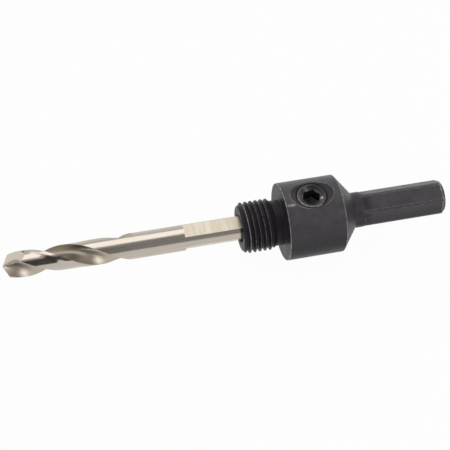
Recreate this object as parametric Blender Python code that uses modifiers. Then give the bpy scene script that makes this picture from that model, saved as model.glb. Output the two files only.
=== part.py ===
"""Hole saw arbor: a turned steel body with a threaded nose and a hexagonal shank, its pilot drill,
and the socket set screw that clamps the drill.

The arbor is modelled on its own axis. Local Z runs from the drill's point to the shank, and z = 0 is
the shoulder that a hole saw seats against. Local X is the direction in which the set screw looks out,
and angles about the axis are counted from it, positive from X to Y. An empty then lays the arbor down
on its head with the set screw upwards, the drill's point at -X and the shank at +X.
"""
import cmath
import math

import bmesh
import bpy
import numpy as np
from mathutils import Matrix, Vector

# Head: the cylinder that carries the set screw, with a cone behind it
head_diameter = 0.0193
head_length = 0.0141
head_edge_break = 0.00015
cone_length = 0.0040

# Neck and hexagonal shank, milled from the neck's diameter so that its corners stay round
neck_diameter = 0.0088
neck_length = 0.0025
hex_across_flats = 0.00794
hex_length = 0.0208
hex_turn = math.radians(19.4)
shank_chamfer = 0.0007

# Threaded nose for the hole saw, with an undercut against the shoulder
nose_length = 0.0105
nose_chamfer = 0.0009
thread_diameter = 0.0127
thread_pitch = 0.00127
thread_start = 0.00059
undercut_length = 0.0024
undercut_below_root = 0.00004

# Blind bore for the pilot drill
bore_clearance = 0.00025
bore_depth = 0.0251
bore_mouth_chamfer = 0.0004
bore_point_angle = math.radians(118)

# Pilot drill
drill_diameter = 0.00635
drill_length = 0.08255
drill_end_gap = 0.0003
drill_end_chamfer = 0.0004
drill_helix_angle = math.radians(29.2)
flute_turn_at_tip = math.radians(25.7)
flute_angle = math.radians(91)
flute_floor_reach = 0.15
flute_floor_web_share = 1.1
flute_heel_pull = 0.6
flute_heel_hook = math.radians(45)
flute_length = 0.0323
flute_runout_length = 0.0075
web_thickness = 0.0009
lip_straight_length = 0.0021
margin_angle = math.radians(15)
land_clearance = 0.00016
clearance_curve_angle = math.radians(22)
point_angle = math.radians(135)
point_relief_angle = math.radians(15)
point_gash_angle = math.radians(62)
point_gash_rise = math.radians(13.8)
chisel_width = 0.0003
flat_depth = 0.0006
flat_length = 0.0387
flat_count = 3
nick_from_tip = 0.0054
nick_radius = 0.00036
nick_behind_edge = math.radians(33)

# Set screw and the tapped hole that it stands in
screw_from_shoulder = 0.00705
screw_diameter = 0.0074
screw_pitch = 0.00125
screw_length = 0.006
screw_end_gap = 0.0002
screw_point_diameter = 0.0052
screw_cup_diameter = 0.0040
screw_cup_depth = 0.0008
screw_top_diameter = 0.0070
socket_across_flats = 0.004
socket_depth = 0.0034
socket_turn = math.radians(-19.9)
socket_mouth_diameter = 0.0061
socket_mouth_angle = math.radians(114)
socket_mouth_floor_share = 0.95
tapped_hole_clearance = 0.00013
tapped_hole_end_gap = 0.0003
countersink_diameter = 0.0109
countersink_angle = math.radians(118)

# Thread form shared by both threads: 60 degree flanks, depth and root flat as shares of the pitch
flank_slope = math.tan(math.radians(30))
thread_depth_share = 0.5413
root_flat_share = 0.25

# Facets
turned_steps = 48
screw_steps = 32
section_twist = math.radians(9)
runout_sections = 10
groove_proud = 0.00008
hex_cutter_share = 0.97
cut_margin = 0.001
merge_distance = 0.00001

# Stations along the arbor's axis, worked out from the sizes above
head_radius = head_diameter / 2
neck_radius = neck_diameter / 2
nose_front = -nose_length
neck_start = head_length + cone_length
shank_start = neck_start + neck_length
shank_end = shank_start + hex_length
bore_radius = drill_diameter / 2 + bore_clearance
bore_floor = nose_front + bore_depth
drill_radius = drill_diameter / 2
drill_back = bore_floor - drill_end_gap
drill_tip = drill_back - drill_length
flute_end = drill_tip + flute_length
runout_start = flute_end - flute_runout_length
flat_height = drill_radius - flat_depth
drill_lead = math.pi * drill_diameter / math.tan(drill_helix_angle)
screw_radius = screw_diameter / 2
screw_base = flat_height + screw_end_gap
hole_radius = screw_radius + tapped_hole_clearance
hole_floor = screw_base - tapped_hole_end_gap
thread_depth = thread_depth_share * thread_pitch
undercut_radius = thread_diameter / 2 - thread_depth - undercut_below_root


# Scene, collections and materials

def clear_scene():
    """Remove every object of the scene."""
    for old in list(bpy.data.objects):
        bpy.data.objects.remove(old, do_unlink=True)


def new_collection(name):
    """A collection linked to the scene."""
    group = bpy.data.collections.new(name)
    bpy.context.scene.collection.children.link(group)
    return group


def steel(name, color, roughness, metallic):
    """A Principled material."""
    material = bpy.data.materials.new(name)
    material.use_nodes = True
    shader = material.node_tree.nodes["Principled BSDF"]
    shader.inputs["Base Color"].default_value = (*color, 1.0)
    shader.inputs["Roughness"].default_value = roughness
    shader.inputs["Metallic"].default_value = metallic
    return material


# Mesh helpers

def add_object(name, mesh, group, axis_frame):
    """Put a mesh into a collection, parented to the frame that it is measured from."""
    piece = bpy.data.objects.new(name, mesh)
    group.objects.link(piece)
    piece.parent = axis_frame
    return piece


def add_cutter(name, mesh, group, axis_frame):
    """A piece that only cuts others."""
    cutter = add_object(name, mesh, group, axis_frame)
    cutter.hide_render = True
    cutter.display_type = "WIRE"
    return cutter


def mesh_from(name, bm):
    """Turn a bmesh into a mesh whose faces point out."""
    bmesh.ops.recalc_face_normals(bm, faces=bm.faces)
    mesh = bpy.data.meshes.new(name)
    bm.to_mesh(mesh)
    bm.free()
    return mesh


def profile_mesh(name, points):
    """A chain of edges in the XZ plane, for a Screw modifier: points are (radius, height)."""
    mesh = bpy.data.meshes.new(name)
    places = [(radius, 0.0, height) for radius, height in points]
    edges = [(i, i + 1) for i in range(len(points) - 1)]
    mesh.from_pydata(places, edges, [])
    return mesh


def turn_profile(piece, steps):
    """Revolve the piece's profile about its own Z axis."""
    turned = piece.modifiers.new("turned", "SCREW")
    turned.axis = "Z"
    turned.angle = 2 * math.pi
    turned.steps = steps
    turned.render_steps = steps
    turned.use_merge_vertices = True
    turned.merge_threshold = merge_distance


def loft(name, rings):
    """A closed solid through rings of points, with a cap at each end; rings is (count, points, 3)."""
    count, points, _ = rings.shape
    bm = bmesh.new()
    grid = [[bm.verts.new(place) for place in ring] for ring in rings]
    for here, there in zip(grid[:-1], grid[1:]):
        for i in range(points):
            j = (i + 1) % points
            bm.faces.new((here[i], here[j], there[j], there[i]))
    bm.faces.new(grid[0])
    bm.faces.new(grid[count - 1])
    return mesh_from(name, bm)


def block(bm, size, place, turn):
    """Add a box of the given size, centred at place and then turned about the Z axis."""
    matrix = Matrix.Rotation(turn, 4, "Z") @ Matrix.Translation(place) @ Matrix.Diagonal((*size, 1.0))
    bmesh.ops.create_cube(bm, size=1.0, matrix=matrix)


def cut(piece, cutter, operation="DIFFERENCE"):
    """Cut one piece by another."""
    step = piece.modifiers.new(cutter.name, "BOOLEAN")
    step.operation = operation
    step.solver = "EXACT"
    step.object = cutter


def finish(piece, material):
    """Apply the piece's modifiers, then shade it smooth between its sharp edges."""
    bpy.context.view_layer.update()
    graph = bpy.context.evaluated_depsgraph_get()
    mesh = bpy.data.meshes.new_from_object(piece.evaluated_get(graph))
    piece.modifiers.clear()
    piece.data = mesh
    mesh.name = piece.name
    mesh.shade_smooth()
    mesh.set_sharp_from_angle(angle=math.radians(28))
    mesh.materials.clear()
    mesh.materials.append(material)


def flats_mesh(name, count, height, width, low, high, reach, turn):
    """Blocks that mill flats: each one's inner face lies at height from the axis."""
    bm = bmesh.new()
    size = (reach, width, high - low)
    place = Vector((height + reach / 2, 0, (low + high) / 2))
    for k in range(count):
        block(bm, size, place, turn + 2 * math.pi * k / count)
    return mesh_from(name, bm)


def thread_groove_mesh(name, major_radius, pitch, first, last, turn, steps):
    """The helical groove of a 60 degree thread, from station first to station last.

    The groove's centre is at station first where the angle is turn, and climbs one pitch a turn.
    """
    depth = thread_depth_share * pitch
    half_root = root_flat_share * pitch / 2
    half_mouth = half_root + (depth + groove_proud) * flank_slope
    inner = major_radius - depth
    outer = major_radius + groove_proud
    count = round((last - first) / pitch * steps)
    angle = turn + 2 * math.pi * np.arange(count + 1) / steps
    centre = first + pitch * np.arange(count + 1) / steps
    radii = np.array([inner, inner, outer, outer])
    sides = np.array([-half_root, half_root, half_mouth, -half_mouth])
    rings = np.empty((count + 1, 4, 3))
    rings[:, :, 0] = np.cos(angle)[:, None] * radii
    rings[:, :, 1] = np.sin(angle)[:, None] * radii
    rings[:, :, 2] = centre[:, None] + sides
    return loft(name, rings)


# Arbor body

def body_profile():
    """Outline of the turned body, from the shank's end down to the nose and back up the bore."""
    bore_tip = bore_floor + bore_radius / math.tan(bore_point_angle / 2)
    thread_radius = thread_diameter / 2
    return [
        (0, shank_end),
        (neck_radius - shank_chamfer, shank_end),
        (neck_radius, shank_end - shank_chamfer),
        (neck_radius, neck_start),
        (head_radius - head_edge_break, head_length),
        (head_radius, head_length - head_edge_break),
        (head_radius, head_edge_break),
        (head_radius - head_edge_break, 0),
        (undercut_radius, 0),
        (undercut_radius, -undercut_length),
        (thread_radius, -undercut_length - (thread_radius - undercut_radius)),
        (thread_radius, nose_front + nose_chamfer),
        (thread_radius - nose_chamfer, nose_front),
        (bore_radius + bore_mouth_chamfer, nose_front),
        (bore_radius, nose_front + bore_mouth_chamfer),
        (bore_radius, bore_floor),
        (0, bore_tip),
    ]


def tapped_hole_profile():
    """Outline of the set screw's hole and countersink; heights are from the arbor's axis."""
    top = head_radius + cut_margin
    slope = math.tan(countersink_angle / 2)
    cone_base = head_radius - (countersink_diameter / 2 - hole_radius) / slope
    return [
        (0, top),
        (countersink_diameter / 2 + cut_margin * slope, top),
        (hole_radius, cone_base),
        (hole_radius, hole_floor),
        (0, hole_floor),
    ]


def build_body(parts, cutters, axis_frame, material):
    """The arbor body: turned, threaded, milled to a hexagon and drilled for the set screw."""
    half_facet = math.pi / turned_steps
    body = add_object("arbor_body", profile_mesh("arbor_body", body_profile()), parts, axis_frame)
    body.rotation_euler.z = half_facet
    turn_profile(body, turned_steps)

    # The groove's angles match the turned facets. It ends clear, in the undercut.
    first = nose_front + thread_start - thread_pitch * (1 - half_facet / (2 * math.pi))
    last = -undercut_length / 2
    groove_mesh = thread_groove_mesh(
        "nose_thread", thread_diameter / 2, thread_pitch, first, last, half_facet, turned_steps)
    cut(body, add_cutter("nose_thread", groove_mesh, cutters, axis_frame))

    flat_width = hex_across_flats * math.tan(math.pi / 6) * hex_cutter_share
    flats_mesh_made = flats_mesh(
        "shank_flats", 6, hex_across_flats / 2, flat_width, shank_start, shank_end + cut_margin,
        neck_radius, hex_turn)
    cut(body, add_cutter("shank_flats", flats_mesh_made, cutters, axis_frame))

    hole = add_cutter(
        "tapped_hole", profile_mesh("tapped_hole", tapped_hole_profile()), cutters, axis_frame)
    hole.location.z = screw_from_shoulder
    hole.rotation_euler.y = math.pi / 2
    turn_profile(hole, screw_steps)
    cut(body, hole)
    finish(body, material)
    return body


# Pilot drill

def flute_turn(station):
    """Angle of the first flute's middle at a station: it turns once a lead, right handed."""
    return flute_turn_at_tip + 2 * math.pi * (station - drill_tip) / drill_lead


def flute_curve(cleared_radius, lift):
    """One flute's outline across the drill, as complex numbers, from its heel to its cutting corner.

    The cutting corner lies at angle 0. From it the lip runs straight in, ahead of the centre by half
    the web, and one Bezier curve goes on round the flute's floor to the heel. Where the flute runs
    out, lift moves the outline away from the axis, and what leaves the drill goes evenly round it.
    """
    ahead = web_thickness / 2
    lean = math.asin(ahead / drill_radius)
    corner = math.sqrt(drill_radius ** 2 - ahead ** 2)
    lip = np.linspace(corner, corner - lip_straight_length, 4) - 1j * ahead
    heel = cmath.rect(cleared_radius, -flute_angle - lean)
    start = lip[-1]
    near = -flute_floor_reach * drill_radius - 1j * ahead * flute_floor_web_share
    far = heel * flute_heel_pull * cmath.exp(-1j * flute_heel_hook)
    t = np.linspace(0, 1, 12)[1:]
    floor = (1 - t) ** 3 * start + 3 * (1 - t) ** 2 * t * near + 3 * (1 - t) * t ** 2 * far + t ** 3 * heel
    outline = np.concatenate([floor[::-1], lip[::-1]]) * cmath.exp(1j * lean)
    outline = outline + lift * cmath.exp(-0.5j * flute_angle)
    even = cleared_radius * np.exp(1j * np.linspace(-flute_angle, 0, len(outline)))
    outside = np.abs(outline) >= cleared_radius - merge_distance
    outline[outside] = even[outside]
    outline[-1] = drill_radius
    return outline


def land_curve(cleared_radius):
    """One land's outline, from the margin behind the cutting corner to just before the heel.

    Behind the margin the clearance falls away in a curve and then runs on evenly to the heel.
    """
    margin = drill_radius * np.exp(1j * np.linspace(0, margin_angle, 3)[1:])
    curve = np.linspace(margin_angle, margin_angle + clearance_curve_angle, 4)[1:]
    even = np.linspace(margin_angle + clearance_curve_angle, math.pi - flute_angle, 4)[1:-1]
    turns = np.concatenate([curve, even])
    rest = 1 - np.clip((turns - margin_angle) / clearance_curve_angle, 0, 1)
    radii = cleared_radius + (drill_radius - cleared_radius) * rest ** 2
    return np.concatenate([margin, radii * np.exp(1j * turns)])


def drill_section(progress):
    """The drill's whole outline; progress goes from 0 on the full flutes to 1 where they end."""
    cleared = drill_radius - land_clearance * (1 - progress)
    half = np.concatenate([flute_curve(cleared, drill_radius * progress ** 2), land_curve(cleared)])
    return np.concatenate([half, -half])


def ring_at(outline, turn, station):
    """Place an outline, turned about the axis, at a station."""
    turned = outline * cmath.exp(1j * turn)
    return np.stack([turned.real, turned.imag, np.full(len(turned), station)], axis=1)


def drill_rings():
    """Rings of points along the drill: full flutes, their run-out, and the plain end."""
    corner_turn = flute_angle / 2
    ahead_of_tip = drill_tip - cut_margin
    step = drill_lead * section_twist / (2 * math.pi)
    full = np.linspace(ahead_of_tip, runout_start, math.ceil((runout_start - ahead_of_tip) / step) + 1)
    rings = [ring_at(drill_section(0), flute_turn(z) + corner_turn, z) for z in full]
    for k in range(1, runout_sections + 1):
        progress = k / runout_sections
        z = runout_start + flute_runout_length * progress
        rings.append(ring_at(drill_section(progress), flute_turn(z) + corner_turn, z))
    turn = flute_turn(flute_end) + corner_turn
    plain = drill_section(1)
    rings.append(ring_at(plain, turn, drill_back - drill_end_chamfer))
    rings.append(ring_at(plain * (1 - drill_end_chamfer / drill_radius), turn, drill_back))
    return np.array(rings)


def point_envelope_mesh():
    """The ground point: a box with a relief facet and a steeper gash facet behind each of two lips."""
    slope_out = 1 / math.tan(point_angle / 2)
    relief = math.tan(point_relief_angle)
    gash = math.tan(point_gash_angle)
    gash_out = math.tan(point_gash_rise)
    ahead = web_thickness / 2
    lip_station = drill_tip + drill_radius * slope_out / 2
    lip_turn = flute_turn(lip_station) + flute_angle / 2 + math.asin(ahead / drill_radius)
    half_chisel = chisel_width / 2
    size = (2 * drill_diameter, 2 * drill_diameter, drill_length + 4 * cut_margin)
    bm = bmesh.new()
    block(bm, size, Vector((0, 0, (drill_tip + drill_back) / 2)), 0)
    for k in range(2):
        out = Vector((math.cos(lip_turn + math.pi * k), math.sin(lip_turn + math.pi * k), 0))
        back = Vector((-out.y, out.x, 0))
        tip = Vector((0, 0, drill_tip))
        behind = tip + back * half_chisel + Vector((0, 0, half_chisel * relief))
        for place, outward, fall in ((tip, slope_out, relief), (behind, gash_out, gash)):
            normal = out * outward + back * fall - Vector((0, 0, 1))
            geometry = list(bm.verts) + list(bm.edges) + list(bm.faces)
            made = bmesh.ops.bisect_plane(bm, geom=geometry, plane_co=place, plane_no=normal, clear_outer=True)
            rim = [item for item in made["geom_cut"] if isinstance(item, bmesh.types.BMEdge)]
            bmesh.ops.contextual_create(bm, geom=rim)
    return mesh_from("point_envelope", bm)


def build_drill(parts, cutters, axis_frame, material):
    """The pilot drill: fluted, ground to a split point, with flats for the set screw."""
    drill = add_object("pilot_drill", loft("pilot_drill", drill_rings()), parts, axis_frame)
    envelope = add_cutter("point_envelope", point_envelope_mesh(), cutters, axis_frame)
    cut(drill, envelope, "INTERSECT")

    flat_start = drill_back - flat_length
    flats = flats_mesh(
        "drill_flats", flat_count, flat_height, drill_diameter, flat_start, drill_back + cut_margin,
        drill_radius, 0)
    cut(drill, add_cutter("drill_flats", flats, cutters, axis_frame))

    # A small nick in the second land, where the point's facet ends
    station = drill_tip + nick_from_tip
    turn = flute_turn(station) + flute_angle / 2 + math.pi + nick_behind_edge
    bm = bmesh.new()
    bmesh.ops.create_uvsphere(bm, u_segments=16, v_segments=10, radius=nick_radius)
    nick = add_cutter("edge_nick", mesh_from("edge_nick", bm), cutters, axis_frame)
    nick.location = (drill_radius * math.cos(turn), drill_radius * math.sin(turn), station)
    cut(drill, nick)
    finish(drill, material)
    return drill


# Set screw

def screw_profile():
    """Outline of the set screw: conical socket mouth, chamfered ends and a cup point."""
    top = screw_length
    chamfer = (screw_diameter - screw_top_diameter) / 2
    point_chamfer = (screw_diameter - screw_point_diameter) / 2
    mouth_floor_radius = socket_across_flats / 2 * socket_mouth_floor_share
    mouth_depth = (socket_mouth_diameter / 2 - mouth_floor_radius) / math.tan(socket_mouth_angle / 2)
    return [
        (0, top - mouth_depth),
        (mouth_floor_radius, top - mouth_depth),
        (socket_mouth_diameter / 2, top),
        (screw_top_diameter / 2, top),
        (screw_radius, top - chamfer),
        (screw_radius, point_chamfer),
        (screw_point_diameter / 2, 0),
        (screw_cup_diameter / 2, 0),
        (0, screw_cup_depth),
    ]


def build_screw(parts, cutters, axis_frame, material):
    """The set screw, standing on the drill's flat with its own Z axis along the tapped hole."""
    screw = add_object("set_screw", profile_mesh("set_screw", screw_profile()), parts, axis_frame)
    screw.location = (screw_base, 0, screw_from_shoulder)
    screw.rotation_euler.y = math.pi / 2
    turn_profile(screw, screw_steps)

    groove_mesh = thread_groove_mesh(
        "screw_thread", screw_radius, screw_pitch, -screw_pitch, screw_length + screw_pitch, 0,
        screw_steps)
    cut(screw, add_cutter("screw_thread", groove_mesh, cutters, screw))

    bm = bmesh.new()
    across_corners = socket_across_flats / math.cos(math.pi / 6)
    depth = socket_depth + cut_margin
    place = Vector((0, 0, screw_length - socket_depth + depth / 2))
    matrix = Matrix.Translation(place) @ Matrix.Rotation(socket_turn, 4, "Z")
    bmesh.ops.create_cone(
        bm, cap_ends=True, segments=6, radius1=across_corners / 2, radius2=across_corners / 2,
        depth=depth, matrix=matrix)
    socket = add_cutter("hex_socket", mesh_from("hex_socket", bm), cutters, screw)
    cut(screw, socket)
    finish(screw, material)
    return screw


# Assembly

def build():
    """Make the whole arbor."""
    clear_scene()
    parts = new_collection("hole_saw_arbor")
    cutters = new_collection("cutters")
    axis_frame = bpy.data.objects.new("arbor_axis", None)
    parts.objects.link(axis_frame)

    # Local Z goes to world X and local X to world Z. The head lies on one of its facets.
    axis_frame.rotation_euler = (math.pi, -math.pi / 2, 0)
    resting_height = head_radius * math.cos(math.pi / turned_steps)
    axis_frame.location = (-(drill_tip + shank_end) / 2, 0, resting_height)

    blackened = steel("black_oxide_steel", (0.055, 0.053, 0.056), 0.5, 0.6)
    ground = steel("high_speed_steel", (0.55, 0.52, 0.46), 0.3, 1.0)
    screw_black = steel("screw_black_oxide", (0.045, 0.045, 0.048), 0.4, 0.6)
    build_body(parts, cutters, axis_frame, blackened)
    build_drill(parts, cutters, axis_frame, ground)
    build_screw(parts, cutters, axis_frame, screw_black)


build()
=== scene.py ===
"""Hole saw arbor: the looks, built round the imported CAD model.

Every shape is worked out in the arbor's own coordinates, in metres. Local z runs along the axis from
the drill's point to the shank, with z = 0 at the shoulder. Local x is the way the set screw looks
out, and angles about the axis are counted from it towards y. to_row() turns them into row places.
"""
from math import acos, asin, ceil, cos, pi, radians, sin, sqrt, tan

import bmesh
import bpy
import numpy as np
from mathutils import Euler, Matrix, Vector


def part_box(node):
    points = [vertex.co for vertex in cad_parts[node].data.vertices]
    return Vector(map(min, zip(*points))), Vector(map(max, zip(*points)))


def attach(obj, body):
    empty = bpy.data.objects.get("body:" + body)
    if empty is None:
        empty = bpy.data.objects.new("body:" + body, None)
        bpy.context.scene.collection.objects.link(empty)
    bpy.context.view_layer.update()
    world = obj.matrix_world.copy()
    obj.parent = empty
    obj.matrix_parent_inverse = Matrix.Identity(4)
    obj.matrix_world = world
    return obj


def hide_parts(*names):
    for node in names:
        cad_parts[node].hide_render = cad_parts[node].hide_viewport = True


bl_info = {
    "name": "Hole saw arbor",
    "version": (1, 0, 0),
    "blender": (4, 5, 0),
    "location": "3D View > Sidebar > Arbor",
    "description": "Builds the looks of a hole saw arbor round its CAD model",
    "category": "Object",
}

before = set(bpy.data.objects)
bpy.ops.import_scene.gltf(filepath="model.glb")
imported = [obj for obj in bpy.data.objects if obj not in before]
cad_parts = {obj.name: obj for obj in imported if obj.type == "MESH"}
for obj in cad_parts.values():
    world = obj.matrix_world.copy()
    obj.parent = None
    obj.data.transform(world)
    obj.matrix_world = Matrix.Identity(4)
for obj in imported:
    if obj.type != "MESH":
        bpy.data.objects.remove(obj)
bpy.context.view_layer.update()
body_low, body_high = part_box("arbor_body")
axis_height = (body_low.z + body_high.z) / 2

# Fixed stations and small sizes that follow the CAD model, in metres
bore_depth = 0.0251
bore_point_angle = radians(118)
bore_chamfer = 0.0004
undercut_length = 0.0024
nose_chamfer = 0.0009
drill_end_gap = 0.0003
drill_end_chamfer = 0.0004
drill_blend_length = 0.005
screw_chamfer = 0.0011
screw_cup_radius = 0.0020
screw_cup_depth = 0.0008

# Tapped hole: how far above the bore its wall ends, and how far from the axis it is cut open
wall_end_over_bore = 0.00018
hole_cut_from_axis = 0.002475

# Threads: depth and flat root as shares of the pitch, and the slope of the flanks
thread_depth_share = 0.5413
root_flat_share = 0.25
flank_slope = tan(radians(30))

# Drill's grid: points along a flute, the point where its straight lip begins, rings by which the
# slanting edge of the ground point has become level, and rings and columns of each flat
flute_points = 48
lip_start = 35
levelling_rings = 80
levelled_from_tip = 0.0068
flat_rings = 24
flat_columns = 38

# Drill's outline: the lip's straight part, and the curves of the flutes' floor and of the lands
lip_length = 0.0021
flute_floor_reach = 0.15
flute_floor_web_share = 1.1
flute_heel_pull = 0.6
margin_angle = radians(15)
clearance_curve_angle = radians(22)

smooth_angle = radians(30)


# Sizes and colours that a user would change

def linear(hex_color):
    """sRGB hex to linear red, green and blue."""
    srgb = np.array([int(hex_color[i:i + 2], 16) for i in (1, 3, 5)]) / 255
    values = np.where(srgb <= 0.04045, srgb / 12.92, ((srgb + 0.055) / 1.055) ** 2.4)
    return tuple(float(v) for v in values)


def length(name, description, default):
    """A length property in metres."""
    return bpy.props.FloatProperty(
        name=name, description=description, default=default, min=0, unit="LENGTH", precision=5)


def angle(name, description, degrees):
    """An angle property."""
    return bpy.props.FloatProperty(
        name=name, description=description, default=radians(degrees), subtype="ANGLE",
        unit="ROTATION")


def colour(name, description, hex_color):
    """A colour property."""
    return bpy.props.FloatVectorProperty(
        name=name, description=description, default=linear(hex_color), subtype="COLOR", size=3,
        min=0, max=1)


def radiance(name, description, default):
    """A light level, as the radiance that the camera sees."""
    return bpy.props.FloatProperty(name=name, description=description, default=default, min=0)


class BodySizes(bpy.types.PropertyGroup):
    """Sizes of the turned body."""
    head_radius: length("Head radius", "Radius of the head", (body_high.z - body_low.z) / 2)
    head_length: length("Head length", "Shoulder to the start of the cone", 0.0141)
    cone_length: length("Cone length", "Length of the cone behind the head", 0.0040)
    neck_radius: length("Neck radius", "Radius of the neck and of the hexagon's corners", 0.0044)
    neck_length: length("Neck length", "Round length between cone and hexagon", 0.0025)
    hex_across_flats: length("Across flats", "Hexagon across its flats", 0.00794)
    hex_turn: angle("Hexagon turn", "Angle of the hexagon's first flat from the screw", 19.4)
    shank_end: length("Shank end", "Shoulder to the end of the shank", 0.0414)
    shank_chamfer: length("Shank chamfer", "Chamfer at the shank's end", 0.0007)
    nose_length: length("Nose length", "Length of the threaded nose", 0.0105)
    thread_radius: length("Thread radius", "Radius over the nose thread's crests", 0.00635)
    thread_pitch: length("Thread pitch", "Rise of the nose thread in one turn", 0.00127)
    thread_start: length("Thread start", "First groove from the nose's front", 0.00059)
    bore_radius: length("Bore radius", "Radius of the drill's bore", 0.003425)
    hole_station: length("Hole station", "Shoulder to the tapped hole", 0.00705)
    hole_radius: length("Hole radius", "Radius of the tapped hole over its crests", 0.00383)
    countersink_radius: length("Countersink radius", "Countersink along the arbor", 0.00545)
    countersink_angle: angle("Countersink angle", "Full angle of the countersink", 118)


class DrillSizes(bpy.types.PropertyGroup):
    """Sizes of the pilot drill."""
    radius: length("Radius", "Radius over the margins", 0.003175)
    drill_length: length("Length", "Whole length", 0.08255)
    helix_angle: angle("Helix angle", "Helix angle at the margin", 29.2)
    tip_turn: angle("Flute turn", "Angle of the first flute's middle at the tip", 25.7)
    flute_angle: angle("Flute angle", "Angle that a flute takes from the round", 91)
    flute_length: length("Flute length", "Tip to the end of the flutes", 0.0323)
    runout_length: length("Run-out length", "Length in which the flutes rise out", 0.0075)
    web: length("Web", "Thickness between the flutes", 0.0009)
    heel_hook: angle("Heel hook", "Angle by which a flute's floor hooks in under its heel", 45)
    point_angle: angle("Point angle", "Full angle of the point", 135)
    relief_angle: angle("Relief angle", "Fall of the facet behind each lip", 15)
    gash_angle: angle("Gash angle", "Fall of the second facet", 62)
    gash_rise: angle("Gash rise", "Fall of the second facet outwards", 13.8)
    nick_station: length("Nick", "Point to the small nick in the second land", 0.0054)
    nick_radius: length("Nick radius", "Radius of the small nick", 0.00036)
    nick_behind: angle("Nick behind edge", "Angle from the second cutting edge to the nick", 33)
    clearance: length("Clearance", "Depth of the ground clearance behind the margins", 0.00016)
    cleared_length: length("Cleared length", "Tip to where the clearance has faded out", 0.0217)
    clearance_fade: length("Clearance fade", "Length in which the clearance fades out", 0.0045)
    chisel_width: length("Chisel width", "Width of the chisel edge", 0.0003)
    flat_depth: length("Flat depth", "Depth of the three flats", 0.0006)
    flat_length: length("Flat length", "Length of the flats from the back end", 0.0387)


class ScrewSizes(bpy.types.PropertyGroup):
    """Sizes of the set screw."""
    radius: length("Radius", "Radius over the crests", 0.0037)
    pitch: length("Pitch", "Rise of the thread in one turn", 0.00125)
    screw_length: length("Length", "Whole length", 0.006)
    top_radius: length("Top radius", "Radius of the flat top ring", 0.0035)
    mouth_radius: length("Socket mouth radius", "Radius where the socket's cone begins", 0.00305)
    mouth_angle: angle("Mouth angle", "Full angle of the socket's mouth", 114)
    across_flats: length("Across flats", "Hexagon socket across its flats", 0.004)
    socket_turn: angle("Socket turn", "Turn of the socket about the screw", -19.9)
    socket_depth: length("Socket depth", "Depth of the socket", 0.0034)


class Finishes(bpy.types.PropertyGroup):
    """Colours of the finishes."""
    oxide: colour("Black oxide", "Body's black oxide finish", "#3C383D")
    oxide_light: colour("Black oxide, light", "Thinner oxide film", "#474447")
    bare: colour("Worn steel", "Steel where edges have lost the oxide", "#B5B1AB")
    screw: colour("Screw", "Screw's black oxide finish", "#322F33")
    high_speed: colour("High speed steel", "Ground high speed steel", "#C6BEB3")
    high_speed_dark: colour("High speed steel, dark", "Darker grinding marks", "#B2A99E")
    point: colour("Point", "Facets of the drill's point", "#DDD3C3")
    milled: colour("Milled flats", "Milled flats of the drill", "#D0C8B8")
    milled_dark: colour("Milled flats, dark", "Marks across the flats, and the flutes", "#B8AF9D")
    paper: colour("Sweep", "Floor and backdrop", "#DCDCDC")


class StageSettings(bpy.types.PropertyGroup):
    """Camera and light levels."""
    camera_place: bpy.props.FloatVectorProperty(
        name="Camera place", description="Place of the camera", size=3, subtype="TRANSLATION",
        default=(-0.047791, -0.172625, 0.247227), precision=5)
    camera_turn: bpy.props.FloatVectorProperty(
        name="Camera turn", description="Rotation of the camera", size=3, subtype="EULER",
        default=[radians(v) for v in (37.2262, -1.866, -12.7846)])
    focal_length: bpy.props.FloatProperty(
        name="Focal length", description="Lens on a 36 mm sensor", default=97.459, unit="CAMERA")
    room_level: radiance("Room level", "Radiance of the grey room", 0.36)
    back_level: radiance("Back level", "Radiance of the room behind the arbor", 0.84)
    box_level: radiance("Top box level", "Radiance of the overhead soft box", 1.05)
    front_level: radiance("Front box level", "Radiance of the soft box in front", 2.6)


GROUPS = {"arbor_body": BodySizes, "arbor_drill": DrillSizes, "arbor_screw": ScrewSizes,
          "arbor_finishes": Finishes, "arbor_stage": StageSettings}


# Numpy helpers

def to_row(points):
    """Local places to row places: row x = z + shoulder, row y = -y, row z = x + axis height."""
    shoulder = body_high.x - bpy.context.scene.arbor_body.shank_end
    x, y, z = np.moveaxis(points, -1, 0)
    return np.stack([z + shoulder, -y, x + axis_height], axis=-1)


def full_turn(count):
    """Evenly spaced angles round a circle."""
    return np.linspace(0, 2 * pi, count + 1)[:-1]


def around(radius, turn, station):
    """Cylinder coordinates to local places: x = r cos(angle), y = r sin(angle), z = station."""
    radius, turn, station = np.broadcast_arrays(radius, turn, station)
    return np.stack([radius * np.cos(turn), radius * np.sin(turn), station], axis=-1)


def about_hole(height, across, along):
    """Places about the tapped hole: x = height, y = across, z = the hole's station + along."""
    station = bpy.context.scene.arbor_body.hole_station
    return np.stack(np.broadcast_arrays(height, across, station + along), axis=-1)


def off_middle(value, period):
    """Distance of a value from the nearest multiple of a period, from -period/2 to period/2."""
    return (value + period / 2) % period - period / 2


def soft_min(a, b, width):
    """The lesser of two heights, with their crossing rounded: (a + b - sqrt((a-b)^2 + w^2)) / 2."""
    return (a + b - np.sqrt((a - b) ** 2 + width ** 2)) / 2


def smooth_step(t):
    """0 to 1 with level ends: 3t^2 - 2t^3 on t clipped to 0..1."""
    t = np.clip(t, 0, 1)
    return t * t * (3 - 2 * t)


def near(distance, width):
    """1 on an edge, falling to 0 as a bell curve of the given width."""
    return np.exp(-(distance / width) ** 2)


def highest(*fields):
    """The greatest of several fields at each point."""
    return np.maximum.reduce(np.broadcast_arrays(*fields))


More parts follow.
